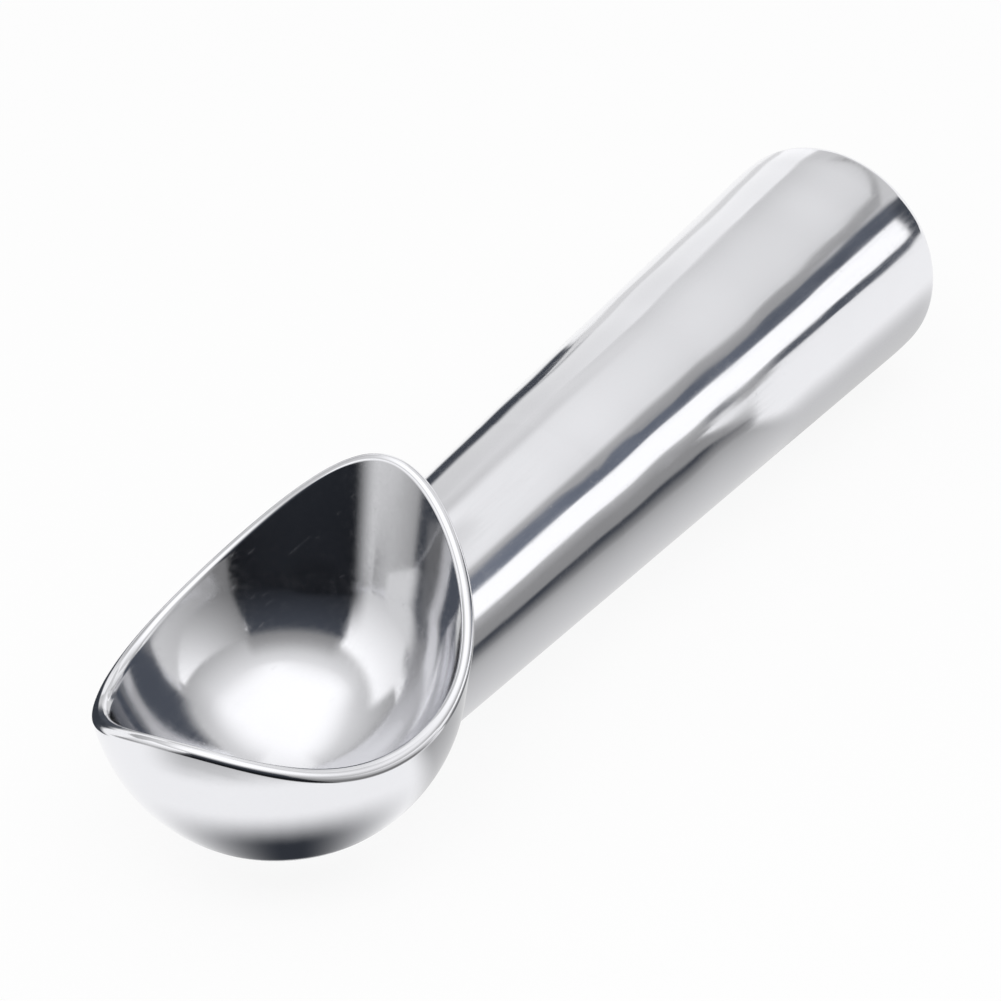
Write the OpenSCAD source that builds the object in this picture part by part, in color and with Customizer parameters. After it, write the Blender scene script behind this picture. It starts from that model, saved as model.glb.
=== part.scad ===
// Roll-dipper ice cream scoop: a one-piece aluminium casting, a round bowl with a saddle-shaped rim on
// a thick tapered handle. The handle is hollow and filled with a fluid that carries the hand's heat to
// the bowl. A plug with a seal ring closes the chamber, and a disc covers the plug at the butt.
// The scoop lies on its bowl and on the butt's lower edge, mouth up. X runs from the lip to the butt.
// Millimetres.

/* [Bowl] */
// Outside radius of the bowl's round bottom
bowl_r = 25.5; // [22:0.5:30]
// Thickness of the bowl's wall above its round bottom
bowl_wall = 1.8; // [1.2:0.1:3]
// Thickness of the bowl's floor
bowl_floor = 6.5; // [3.5:0.25:8]
// Lean of the bowl's own axis towards the handle, in degrees
cup_tilt = 7.4; // [0:0.2:12]
// Outward lean of the wall above the round bottom, in degrees
wall_flare = 8.8; // [3:0.2:14]

/* [Rim] */
// Distance of the rim's lowest point ahead of the bowl's centre
rim_low_x = 8.6; // [4:0.2:12]
// Distance of the rim's lowest point below the bowl's centre
rim_low_z = 3.4; // [0:0.2:6]
// Radius of the rim's sweep from its lowest point up to the lip
rim_front_r = 26.6; // [24:0.2:40]
// Radius of the rim's sweep from its lowest point up to the back
rim_back_r = 49.7; // [44:0.5:60]
// Rounding of the rim's edges, where the wall is thick enough for it
rim_round = 1.3; // [0.4:0.1:1.4]

/* [Handle] */
// Distance from the bowl's centre to the butt's end face
handle_len = 156; // [130:1:180]
// Distance of the handle's axis below the bowl's centre
handle_drop = 11.5; // [8:0.25:12]
// Radius of the handle where it leaves the bowl
neck_r = 13.9; // [12:0.1:14.5]
// Radius to which the handle has grown at the butt
butt_r = 18.3; // [16:0.1:20]
// Rounding of the butt's edge
butt_round = 2.3; // [1:0.1:3]
// Radius of the fillet where the handle leaves the bowl
neck_fillet = 3.5; // [1.5:0.25:5]

/* [Chamber] */
// Thickness of the handle's wall around the chamber
handle_wall = 4; // [3:0.25:5]
// Thinnest metal between the bowl's inside and the chamber
chamber_web = 3; // [2.2:0.1:5]
// Depth of the air space above the fluid, from the chamber's highest point
fill_drop = 5; // [2:0.5:8]

/* [Seal] */
// Depth of the shoulder that stops the plug
seat_step = 0.7; // [0.4:0.1:1]
// Length of the plug
plug_len = 9; // [7:0.5:14]
// Width of the seal ring's groove
groove_w = 2.8; // [2.4:0.1:3.4]
// Depth of the seal ring's groove
groove_depth = 2; // [1.6:0.1:2.2]
// Thickness of the end disc
cap_thick = 3; // [2:0.25:5]
// Bevel on the end disc's outer edge
cap_bevel = 0.4; // [0.2:0.1:0.8]
// Clearance of the plug, the disc and the seal ring in their bores
press_gap = 0.02; // [0.01:0.01:0.1]
// Clearance of the fluid's solid from the chamber's wall
fluid_gap = 0.05; // [0.02:0.01:0.2]

/* [Hidden] */
$fn = 128;

// Amount by which a cutting shape passes the surface that it opens
over = 10;
// Height of the wall above the bowl's centre before the rim is cut
cup_top = bowl_r;
// Amount by which an arc crosses the line that it runs into, so that the two join in one outline
blend = 0.003;

// Inside of the bowl: its round bottom is raised along the bowl's axis to leave the floor
floor_rise = (bowl_floor - bowl_wall) / (1 - sin(wall_flare));
inside_r = bowl_r - bowl_wall + floor_rise * sin(wall_flare);
inside_mid = from_cup([0, 0, floor_rise]);

// Rim: points along it, facets round each of its edges, and the share of the wall that one edge may take
rim_turns = 72;
rim_steps = 3;
rim_share = 0.48;

// Fillet: steps across it and round the neck, how far its edges sink in and how deep its root lies
fillet_steps = 5;
fillet_turns = 72;
fillet_sink = 0.05;
fillet_root = 0.8;

// Handle: a cone about an axis handle_drop below the bowl's centre, with a rounded edge at the butt
handle_slope = (butt_r - neck_r) / (handle_len - bowl_r);
handle_angle = atan(handle_slope);
round_x = handle_len - butt_round;
round_rad = handle_r(round_x) - butt_round / cos(handle_angle);

// Chamber and seat: the chamber follows the handle's taper and widens to the plug's bore at a shoulder
cap_x = handle_len - cap_thick;
shoulder_x = cap_x - plug_len;
seat_r = chamber_r(shoulder_x) + seat_step;
plug_r = seat_r - press_gap;
groove_x = shoulder_x + plug_len / 2;
groove_r = plug_r - groove_depth;
ring_r = (seat_r - groove_r) / 2 - press_gap;

// Rest: the line that touches the bowl's bottom and the butt's rounded edge lies level on the table
corner_z = -handle_drop - round_rad;
corner_dist = norm([round_x, corner_z]);
rest_tilt = -atan2(corner_z, round_x) - asin((bowl_r - butt_round) / corner_dist);

// Lip: the foremost point, where the wall's front line meets the rim's front sweep
wall_lean = wall_flare - cup_tilt;
wall_dir = [-sin(wall_lean), cos(wall_lean)];
wall_foot = bowl_r * [-cos(wall_lean), -sin(wall_lean)];
sweep_mid = [-rim_low_x, rim_front_r - rim_low_z];
foot_off = wall_foot - sweep_mid;
foot_along = foot_off * wall_dir;
lip_along = -foot_along - sqrt(foot_along ^ 2 - foot_off * foot_off + rim_front_r ^ 2);
lip = wall_foot + (lip_along - rim_edge(wall_depth(rim_at(180), cup_normal(rim_at(180))))) * wall_dir;

// Span of the resting scoop along X, whose middle is the origin
front_x = lip[0] * cos(rest_tilt) - lip[1] * sin(rest_tilt);
rear_x = round_x * cos(rest_tilt) - corner_z * sin(rest_tilt) + butt_round;
mid_x = (front_x + rear_x) / 2;

// Level of the fluid in the resting scoop, below the chamber's highest point at the plug's shoulder
chamber_peak = (chamber_r(shoulder_x) - handle_drop) * cos(rest_tilt) + shoulder_x * sin(rest_tilt);
fluid_top = bowl_r + chamber_peak - fill_drop;

function handle_r(x) = neck_r + handle_slope * (x - bowl_r);
function chamber_r(x) = handle_r(x) - handle_wall;

// A direction in the bowl's own axes, and back in the handle's
function to_cup(v) =
    [v[0] * cos(cup_tilt) - v[2] * sin(cup_tilt), v[1], v[2] * cos(cup_tilt) + v[0] * sin(cup_tilt)];
function from_cup(v) =
    [v[0] * cos(cup_tilt) + v[2] * sin(cup_tilt), v[1], v[2] * cos(cup_tilt) - v[0] * sin(cup_tilt)];

// Direction from the bowl's outside to a point near it, and the point's distance from the bowl
function cup_normal(p) =
    let (
        q = to_cup(p),
        out = norm([q[0], q[1]]),
        rise = min(-wall_flare, atan2(q[2], out))
    )
    from_cup([q[0] / out * cos(rise), q[1] / out * cos(rise), sin(rise)]);
function cup_gap(p) = p * cup_normal(p) - bowl_r;

// Height of the rim in side view: two arcs that meet at the rim's lowest point
function rim_z(x) =
    let (
        off = x + rim_low_x,
        radius = off < 0 ? rim_front_r : rim_back_r
    )
    radius - rim_low_z - sqrt(max(0, radius ^ 2 - off ^ 2));

// Point on the bowl's outside, at an angle about the bowl's axis and a height along it
function wall_at(turn, up) =
    let (
        out = up < -bowl_r * sin(wall_flare)
            ? sqrt(bowl_r ^ 2 - up ^ 2)
            : bowl_r / cos(wall_flare) + up * tan(wall_flare)
    )
    from_cup([out * cos(turn), out * sin(turn), up]);

// Height along the bowl's axis at which the outside reaches the rim, by halving the span
function rim_up(turn, low, high, left) =
    let (
        mid = (low + high) / 2,
        p = wall_at(turn, mid)
    )
    left == 0
        ? mid
        : p[2] > rim_z(p[0]) ? rim_up(turn, low, mid, left - 1) : rim_up(turn, mid, high, left - 1);
function rim_at(turn) = wall_at(turn, rim_up(turn, -bowl_r / 2, cup_top, 40));

// Distance of a point from the bowl's inside, and the wall's thickness behind a point of the outside, by
// steps towards the inside
function inside_gap(p) = (p - inside_mid) * cup_normal(p - inside_mid) - inside_r;
function wall_depth(p, out, depth = bowl_wall, left = 12) =
    left == 0 ? depth : wall_depth(p, out, depth + inside_gap(p - out * depth), left - 1);
function rim_edge(wall) = min(rim_round, rim_share * wall);

// Facets round an edge between the rim's top and a face that runs down from it. The last point lies on
// past the face, as far as the one before it lies ahead of the face.
function edge_points(edge, along, down, radius) =
    let (
        half = acos(along * down) / 2,
        mid = edge + (along + down) / norm(along + down) * radius / sin(half),
        first = (edge + along * radius / tan(half) - mid) / radius,
        last = (edge + down * radius / tan(half) - mid) / radius,
        spread = 180 - 2 * half,
        arc = [
            for (i = [0 : rim_steps])
                let (part = spread * i / rim_steps)
                mid + (first * sin(spread - part) + last * sin(part)) * radius / sin(spread)
        ]
    )
    [for (i = [0 : rim_steps - 1]) arc[i], 2 * arc[rim_steps] - arc[rim_steps - 1]];

// Section across the rim, from inside the bowl to far outside
function rim_section(turn) =
    let (
        p = rim_at(turn),
        out = cup_normal(p),
        ahead = rim_at(turn + 1) - rim_at(turn - 1),
        up = cross(out, ahead) / norm(ahead),
        wall = wall_depth(p, out),
        edge = p - out * wall,
        face = cup_normal(edge - inside_mid),
        down = out * (face * up) - up * (face * out),
        inner = edge_points(edge, out, down / norm(down), rim_edge(wall)),
        outer = edge_points(p, -out, -up, rim_edge(wall))
    )
    [
        for (i = [rim_steps : -1 : 0]) inner[i],
        each outer,
        p + from_cup([cos(turn), sin(turn), 0]) * 2 * bowl_r
    ];

// Centre of a ball that rolls on the handle, at an angle about its axis and a distance along it
function ball_at(turn, x) =
    let (reach = handle_r(x) + neck_fillet / cos(handle_angle))
    [x, reach * cos(turn), reach * sin(turn) - handle_drop];

// Distance along the handle at which that ball also touches the bowl, by halving the span
function ball_x(turn, low, high, left) =
    let (mid = (low + high) / 2)
    left == 0
        ? mid
        : cup_gap(ball_at(turn, mid)) > neck_fillet
            ? ball_x(turn, low, mid, left - 1)
            : ball_x(turn, mid, high, left - 1);

// Section of the fillet at an angle: an arc of the ball from the handle to the bowl, and a root inside
function fillet_section(turn) =
    let (
        ball = ball_at(turn, ball_x(turn, 0, 3 * bowl_r, 40)),
        to_handle = [sin(handle_angle), -cos(handle_angle) * cos(turn), -cos(handle_angle) * sin(turn)],
        to_bowl = -cup_normal(ball),
        spread = acos(to_handle * to_bowl),
        mid = (to_handle + to_bowl) / norm(to_handle + to_bowl),
        root = neck_fillet / cos(spread / 2) + fillet_root
    )
    [
        ball + to_handle * (neck_fillet + fillet_sink),
        for (i = [1 : fillet_steps - 1])
            let (part = spread * i / fillet_steps)
            ball + neck_fillet / sin(spread) * (to_handle * sin(spread - part) + to_bowl * sin(part)),
        ball + to_bowl * (neck_fillet + fillet_sink),
        ball + mid * root
    ];

// Lays the scoop down: bowl centre above the table, mouth up, centred along X
module at_rest() {
    translate([-mid_x, 0, bowl_r])
        rotate([0, -rest_tilt, 0])
            children();
}

// Revolves an outline, drawn as radius against distance, about the handle's axis
module about_handle() {
    translate([0, 0, -handle_drop])
        rotate([0, 90, 0])
            rotate_extrude()
                children();
}

// Bowl's form: a round bottom of a radius, its middle raised by rise, that runs smoothly into a flared
// wall up to height top
module cup_solid(radius, rise, top) {
    foot_r = radius * cos(wall_flare);
    foot_z = -radius * sin(wall_flare);
    wall_z = top - rise;
    wall_r = foot_r + (wall_z - foot_z) * tan(wall_flare);
    rotate([0, cup_tilt, 0])
        translate([0, 0, rise])
            rotate_extrude() {
                intersection() {
                    circle(r = radius);
                    translate([0, -radius])
                        square(2 * radius);
                }
                polygon([[0, 2 * foot_z], [foot_r - blend, foot_z], [wall_r - blend, wall_z], [0, wall_z]]);
            }
}

// Everything above the rounded rim: a lid that opens out from the bowl's centre through the rim
module above_rim() {
    points = [
        for (i = [0 : rim_turns - 1]) each rim_section(360 * i / rim_turns),
        [0, 0, 0],
        from_cup([0, 0, 6 * bowl_r])
    ];
    count = len(rim_section(0));
    inner = rim_turns * count;
    outer = inner + 1;
    faces = [
        for (i = [0 : rim_turns - 1])
            let (
                here = i * count,
                next = ((i + 1) % rim_turns) * count
            )
            each [
                [inner, here, next],
                for (j = [0 : count - 2])
                    each [[here + j, here + j + 1, next + j + 1], [here + j, next + j + 1, next + j]],
                [outer, next + count - 1, here + count - 1]
            ]
    ];
    polyhedron(points, faces);
}

// Outside of the handle, from within the bowl to the rounded butt
module handle_solid() {
    about_handle()
        intersection() {
            union() {
                polygon([
                    [0, 0],
                    [handle_r(0), 0],
                    [round_rad + butt_round * cos(handle_angle), round_x - butt_round * sin(handle_angle)],
                    [round_rad, round_x],
                    [round_rad, handle_len + over],
                    [0, handle_len + over]
                ]);
                translate([round_rad + blend, round_x + blend])
                    circle(r = butt_round);
            }
            square([2 * butt_r, handle_len]);
        }
}

// Fillet between the bowl and the handle, swept round the neck
module neck_fillet_ring() {
    count = fillet_steps + 2;
    points = [for (i = [0 : fillet_turns - 1]) each fillet_section(360 * i / fillet_turns)];
    faces = [
        for (i = [0 : fillet_turns - 1], j = [0 : count - 1])
            let (
                a = i * count + j,
                b = i * count + (j + 1) % count,
                c = ((i + 1) % fillet_turns) * count + (j + 1) % count,
                d = ((i + 1) % fillet_turns) * count + j
            )
            each [[a, c, b], [a, d, c]]
    ];
    polyhedron(points, faces);
}

// Hollow of the handle: the chamber, then the wider bore for the plug and the end disc
module hollow() {
    difference() {
        about_handle()
            polygon([
                [0, 0],
                [chamber_r(0), 0],
                [chamber_r(shoulder_x), shoulder_x],
                [seat_r, shoulder_x],
                [seat_r, handle_len + over],
                [0, handle_len + over]
            ]);
        cup_solid(bowl_r + chamber_web - bowl_wall, 0, cup_top);
    }
}

// Bowl and handle, one hollow casting
module scoop_casting() {
    color([0.8, 0.81, 0.82])
        at_rest()
            difference() {
                union() {
                    difference() {
                        cup_solid(bowl_r, 0, cup_top);
                        above_rim();
                    }
                    handle_solid();
                    neck_fillet_ring();
                }
                cup_solid(inside_r, floor_rise, cup_top + over);
                hollow();
            }
}

// Fluid in the chamber, level on top with an air space at the highest end
module heat_transfer_fluid() {
    color([0.75, 0.85, 0.9, 0.6])
        difference() {
            at_rest()
                difference() {
                    about_handle()
                        polygon([
                            [0, 0],
                            [chamber_r(0) - fluid_gap, 0],
                            [chamber_r(shoulder_x) - fluid_gap, shoulder_x - fluid_gap],
                            [0, shoulder_x - fluid_gap]
                        ]);
                    cup_solid(bowl_r + chamber_web - bowl_wall + fluid_gap, 0, cup_top);
                }
            translate([0, 0, fluid_top + handle_len])
                cube(2 * handle_len, center = true);
        }
}

// Plug against the chamber's shoulder, grooved for its seal ring
module sealing_plug() {
    color([0.6, 0.61, 0.63])
        at_rest()
            about_handle()
                difference() {
                    translate([0, shoulder_x])
                        square([plug_r, plug_len]);
                    translate([groove_r, groove_x - groove_w / 2])
                        square([groove_depth + over, groove_w]);
                }
}

// Seal ring between the plug's groove and the bore
module plug_o_ring() {
    color([0.1, 0.1, 0.11])
        at_rest()
            about_handle()
                translate([groove_r + press_gap + ring_r, groove_x])
                    circle(r = ring_r);
}

// Disc pressed into the bore, flush with the butt's end face
module end_cap() {
    color([0.72, 0.73, 0.74])
        at_rest()
            about_handle()
                polygon([
                    [0, cap_x],
                    [plug_r, cap_x],
                    [plug_r, handle_len - cap_bevel],
                    [plug_r - cap_bevel, handle_len],
                    [0, handle_len]
                ]);
}

scoop_casting();
heat_transfer_fluid();
sealing_plug();
plug_o_ring();
end_cap();
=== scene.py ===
"""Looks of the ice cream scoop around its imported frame: casting, hidden parts, studio and camera."""
import math
from functools import reduce
from types import SimpleNamespace

import bpy
import numpy as np
from mathutils import Matrix, Vector


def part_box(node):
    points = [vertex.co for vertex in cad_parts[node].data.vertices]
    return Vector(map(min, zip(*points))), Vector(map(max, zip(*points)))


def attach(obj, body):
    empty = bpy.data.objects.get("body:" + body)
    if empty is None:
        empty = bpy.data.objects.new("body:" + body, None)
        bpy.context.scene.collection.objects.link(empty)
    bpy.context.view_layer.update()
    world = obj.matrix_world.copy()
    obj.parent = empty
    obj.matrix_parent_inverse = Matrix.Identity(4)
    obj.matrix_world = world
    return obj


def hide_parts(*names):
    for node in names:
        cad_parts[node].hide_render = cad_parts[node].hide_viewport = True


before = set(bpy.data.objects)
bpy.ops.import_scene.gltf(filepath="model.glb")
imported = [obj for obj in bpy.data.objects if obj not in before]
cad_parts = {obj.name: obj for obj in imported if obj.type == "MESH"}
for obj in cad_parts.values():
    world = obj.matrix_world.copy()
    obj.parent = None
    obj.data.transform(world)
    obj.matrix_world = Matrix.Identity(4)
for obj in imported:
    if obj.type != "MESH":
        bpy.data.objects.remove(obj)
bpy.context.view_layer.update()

MM = 0.001
RIGHT_ANGLE = math.pi / 2

# The part's sizes, as in its source, in millimetres and radians
BOWL_R, BOWL_WALL, BOWL_FLOOR = 25.5, 1.8, 6.5
CUP_TILT, WALL_FLARE = math.radians(7.4), math.radians(8.8)
RIM_LOW_X, RIM_LOW_Z, RIM_FRONT_R, RIM_BACK_R = 8.6, 3.4, 26.6, 49.7
RIM_ROUND, RIM_SHARE = 1.3, 0.48
HANDLE_LEN, HANDLE_DROP, NECK_R, BUTT_R = 156.0, 11.5, 13.9, 18.3
BUTT_ROUND, NECK_FILLET = 2.3, 3.5
HANDLE_WALL, CHAMBER_WEB, SEAT_STEP, PLUG_LEN, CAP_THICK = 4.0, 3.0, 0.7, 9.0, 3.0
BORE_CHAMFER = 0.12
# In the mesh alone: the polish rolls over the last few millimetres before the butt's edge
EASE_LEN, EASE_DEPTH = 4.6, 0.14

HANDLE_SLOPE = (BUTT_R - NECK_R) / (HANDLE_LEN - BOWL_R)
HANDLE_ANGLE = math.atan(HANDLE_SLOPE)
ROUND_X = HANDLE_LEN - BUTT_ROUND
ROUND_RAD = NECK_R + HANDLE_SLOPE * (ROUND_X - BOWL_R) - BUTT_ROUND / math.cos(HANDLE_ANGLE)
EASE_ANGLE = math.atan(2 * EASE_DEPTH / EASE_LEN - HANDLE_SLOPE)
EDGE_X = ROUND_X + BUTT_ROUND * math.sin(EASE_ANGLE)
EASE_X = EDGE_X - EASE_LEN
SHOULDER_X = HANDLE_LEN - CAP_THICK - PLUG_LEN
CORNER_Z = -HANDLE_DROP - ROUND_RAD
REST_TILT = -math.atan2(CORNER_Z, ROUND_X) - math.asin(
    (BOWL_R - BUTT_ROUND) / math.hypot(ROUND_X, CORNER_Z)
)

# Mesh: columns round the casting, and rings along each stretch of its surface
COLUMNS = 288
INNER_RINGS, RIM_RINGS, OUTER_RINGS, FILLET_RINGS = 48, 8, 40, 12
HANDLE_RINGS, EASE_RINGS, BUTT_RINGS = 36, 10, 10
FACE_RINGS, CHAMFER_RINGS, BORE_RINGS, SHOULDER_RINGS, CHAMBER_RINGS, WEB_RINGS = 3, 2, 3, 2, 8, 8

# Numerical steps: halvings of a span, rounds that find the rim's inner edge, points that share out the
# columns, the angle between the rim's points that give its direction, and limits that keep sums finite
HALVINGS, EDGE_ROUNDS, FINE_POINTS, RIM_STEP = 48, 12, 4001, 0.01
LEAST_OUT, MOST_LEAN = 1e-9, 1.4


def handle_r(x):
    return NECK_R + HANDLE_SLOPE * (x - BOWL_R)


def chamber_r(x):
    return handle_r(x) - HANDLE_WALL


SEAT_R = chamber_r(SHOULDER_X) + SEAT_STEP
EDGE_RAD = handle_r(EDGE_X) - EASE_DEPTH - BUTT_ROUND * math.cos(EASE_ANGLE)


def unit(v):
    return v / np.linalg.norm(v, axis=-1, keepdims=True)


def to_cup(v):
    c, s = math.cos(CUP_TILT), math.sin(CUP_TILT)
    return np.stack([v[..., 0] * c - v[..., 2] * s, v[..., 1], v[..., 2] * c + v[..., 0] * s], -1)


def from_cup(v):
    c, s = math.cos(CUP_TILT), math.sin(CUP_TILT)
    return np.stack([v[..., 0] * c + v[..., 2] * s, v[..., 1], v[..., 2] * c - v[..., 0] * s], -1)


def cup_normal(p):
    """Direction from the bowl's outside to a point near it."""
    q = to_cup(p)
    out = np.maximum(np.hypot(q[..., 0], q[..., 1]), LEAST_OUT)
    rise = np.minimum(-WALL_FLARE, np.arctan2(q[..., 2], out))
    flat = np.cos(rise) / out
    return from_cup(np.stack([q[..., 0] * flat, q[..., 1] * flat, np.sin(rise)], -1))


def cup_gap(p):
    """Distance of a point from the bowl's outside, negative inside."""
    return np.sum(p * cup_normal(p), -1) - BOWL_R


# The bowl's inside has its round bottom raised along the bowl's axis, which leaves the floor
FLOOR_RISE = (BOWL_FLOOR - BOWL_WALL) / (1 - math.sin(WALL_FLARE))
INSIDE_R = BOWL_R - BOWL_WALL + FLOOR_RISE * math.sin(WALL_FLARE)
INSIDE_MID = from_cup(np.array([0, 0, FLOOR_RISE]))


def inside_gap(p):
    """Distance of a point from the bowl's inside, positive in the wall."""
    return np.sum((p - INSIDE_MID) * cup_normal(p - INSIDE_MID), -1) - INSIDE_R


def halve(low, high, past):
    """Where past turns true between low and high, by halving the span."""
    for _ in range(HALVINGS):
        mid = (low + high) / 2
        beyond = past(mid)
        low, high = np.where(beyond, low, mid), np.where(beyond, mid, high)
    return (low + high) / 2


def rim_z(x):
    """Height of the rim in side view: two arcs that meet at its lowest point."""
    off = x + RIM_LOW_X
    radius = np.where(off < 0, RIM_FRONT_R, RIM_BACK_R)
    return radius - RIM_LOW_Z - np.sqrt(np.maximum(0, radius**2 - off**2))


def wall_at(turn, up):
    """Point on the bowl's outside at an angle about the bowl's axis and a height along it."""
    round_out = np.sqrt(np.maximum(0, BOWL_R**2 - up**2))
    flared_out = BOWL_R / math.cos(WALL_FLARE) + up * math.tan(WALL_FLARE)
    out = np.where(up < -BOWL_R * math.sin(WALL_FLARE), round_out, flared_out)
    return from_cup(np.stack([out * np.cos(turn), out * np.sin(turn), up], -1))


def rim_at(turn):
    """Point where the bowl's outside meets the rim, at an angle about the bowl's axis."""

    def past(up):
        p = wall_at(turn, up)
        return p[..., 2] > rim_z(p[..., 0])

    ones = np.ones_like(turn)
    return wall_at(turn, halve(-BOWL_R / 2 * ones, BOWL_R * ones, past))


def on_handle(x, turn, radius):
    """Point at a distance along the handle, an angle about its axis and a radius."""
    return np.stack([x + 0 * turn, radius * np.cos(turn), radius * np.sin(turn) - HANDLE_DROP], -1)


def about_handle(along, outward, turn):
    """Direction with a part along the handle and a part outward from its axis."""
    return np.stack([along + 0 * turn, outward * np.cos(turn), outward * np.sin(turn)], -1)


def rolling_ball(turn):
    """Centre of the ball that touches the handle and the bowl at an angle about the handle."""

    def centre(x):
        return on_handle(x, turn, handle_r(x) + NECK_FILLET / math.cos(HANDLE_ANGLE))

    ones = np.ones_like(turn)
    return centre(halve(0 * ones, 3 * BOWL_R * ones, lambda x: cup_gap(centre(x)) > NECK_FILLET))


# The bowl's outside is a ring between the rim and the neck's fillet. In a stereographic picture of it,
# with the neck moved to the middle, its columns are spokes and its rings are circles.
SPREAD = 2.2
NECK_MID = to_cup(np.array([math.sqrt(BOWL_R**2 - HANDLE_DROP**2), 0, -HANDLE_DROP]) / BOWL_R)
NECK_SHIFT = NECK_MID[0] / (1 - NECK_MID[2]) / SPREAD


def to_spokes(p):
    u = unit(to_cup(p))
    w = (u[..., 0] + 1j * u[..., 1]) / (1 - u[..., 2]) / SPREAD
    return (w - NECK_SHIFT) / (1 - NECK_SHIFT * w)


def from_spokes(v):
    w = (v + NECK_SHIFT) / (1 + NECK_SHIFT * v) * SPREAD
    size = np.abs(w) ** 2
    u = np.stack([2 * w.real, 2 * w.imag, size - 1], -1) / (size + 1)[..., None]
    rise = np.arcsin(np.clip(u[..., 2], -1, 1))
    flared = BOWL_R / np.cos(np.minimum(rise + WALL_FLARE, MOST_LEAN))
    reach = np.where(rise < -WALL_FLARE, BOWL_R, flared)
    return from_cup(u * reach[..., None])


def spoke_angle(p):
    return np.unwrap(np.angle(to_spokes(p)))


def casting_columns():
    """Angles about the bowl and about the handle of each column, evenly shared between the two."""
    fine = np.linspace(0, 2 * math.pi, FINE_POINTS)
    rim_spoke = spoke_angle(rim_at(fine))
    ball = rolling_ball(RIGHT_ANGLE - fine)
    neck_spoke = spoke_angle(ball - NECK_FILLET * cup_normal(ball))
    back = np.interp(rim_spoke, neck_spoke, fine)
    shared = (fine + back) / 2
    even = np.linspace(0, 2 * math.pi, COLUMNS, endpoint=False)
    return np.interp(even, shared, fine), RIGHT_ANGLE - np.interp(even, shared, back)


def shares(count):
    """Even steps from 0 to 1, one for each ring."""
    return np.linspace(0, 1, count)[:, None]


def rim_edges(turn):
    """The rim at each column: its directions, its rounding, and the circles that round its two edges."""
    p = rim_at(turn)
    out = cup_normal(p)
    up = unit(np.cross(out, rim_at(turn + RIM_STEP) - rim_at(turn - RIM_STEP)))
    # Inner edge: the wall's thickness there, and a ball against the rim's top and the inside
    edge = p - out * BOWL_WALL
    for _ in range(EDGE_ROUNDS):
        edge = edge - inside_gap(edge)[:, None] * out
    radius = np.minimum(RIM_ROUND, RIM_SHARE * np.linalg.norm(p - edge, axis=-1))[:, None]
    face = cup_normal(edge - INSIDE_MID)
    down = unit(out * np.sum(face * up, -1)[:, None] - up * np.sum(face * out, -1)[:, None])
    half = np.arccos(np.sum(out * down, -1))[:, None] / 2
    inner_mid = edge + unit(out + down) * radius / np.sin(half)
    inner_top = edge + down * radius / np.tan(half)
    inner_top = inner_top - inside_gap(inner_top)[:, None] * cup_normal(inner_top - INSIDE_MID)
    # Outer edge: a ball against the rim's top and the outside
    outer_mid = p - (out + up) * radius
    outer_top = p - up * radius
    outer_top = outer_top - cup_gap(outer_top)[:, None] * cup_normal(outer_top)
    return SimpleNamespace(
        out=out,
        up=up,
        radius=radius,
        inner_mid=inner_mid,
        inner_top=inner_top,
        outer_mid=outer_mid,
        outer_top=outer_top,
    )


def inside_patch(inner_top):
    """Inside of the bowl, from the bottom to the rim: a round bottom under a flared wall."""
    q = to_cup(inner_top - INSIDE_MID)
    spin = np.arctan2(q[:, 1], q[:, 0])
    foot = INSIDE_R * (RIGHT_ANGLE - WALL_FLARE)
    on_ball = q[:, 2] < -INSIDE_R * math.sin(WALL_FLARE)
    ball_path = INSIDE_R * (np.arcsin(np.clip(q[:, 2] / INSIDE_R, -1, 1)) + RIGHT_ANGLE)
    wall_path = foot + (q[:, 2] + INSIDE_R * math.sin(WALL_FLARE)) / math.cos(WALL_FLARE)
    path = shares(INNER_RINGS) * np.where(on_ball, ball_path, wall_path)
    rise = np.minimum(path, foot) / INSIDE_R - RIGHT_ANGLE
    more = np.maximum(path - foot, 0)
    flat = INSIDE_R * np.cos(rise) + more * math.sin(WALL_FLARE)
    height = INSIDE_R * np.sin(rise) + more * math.cos(WALL_FLARE)
    points = np.stack([flat * np.cos(spin), flat * np.sin(spin), height], -1)
    normals = np.stack(
        [-np.cos(rise) * np.cos(spin), -np.cos(rise) * np.sin(spin), -np.sin(rise)], -1
    )
    return from_cup(points) + INSIDE_MID, from_cup(normals)


def rim_patch(rim):
    """Rounded rim: an arc off the inside, a flat and an arc on to the outside."""
    share = shares(RIM_RINGS)[..., None]
    inward = unit(rim.inner_top - rim.inner_mid)
    swing = np.arccos(np.clip(np.sum(inward * rim.up, -1), -1, 1))[None, :, None]
    rise = (inward * np.sin(swing * (1 - share)) + rim.up * np.sin(swing * share)) / np.sin(swing)
    fall = rim.up * np.cos(share * RIGHT_ANGLE) + rim.out * np.sin(share * RIGHT_ANGLE)
    points = np.concatenate([rim.inner_mid + rim.radius * rise, rim.outer_mid + rim.radius * fall])
    normals = np.concatenate([rise, fall])
    points[0], normals[0] = rim.inner_top, -cup_normal(rim.inner_top - INSIDE_MID)
    points[-1], normals[-1] = rim.outer_top, cup_normal(rim.outer_top)
    return points, normals


def outside_patch(outer_top, bowl_edge):
    """Outside of the bowl, from the rim to the fillet."""
    start, end = to_spokes(outer_top), to_spokes(bowl_edge)
    share = shares(OUTER_RINGS)
    bend = np.angle(end / start)
    v = start * (np.abs(end) / np.abs(start)) ** share * np.exp(1j * bend * share)
    points = from_spokes(v)
    points[0], points[-1] = outer_top, bowl_edge
    return points, cup_normal(points)


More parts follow.
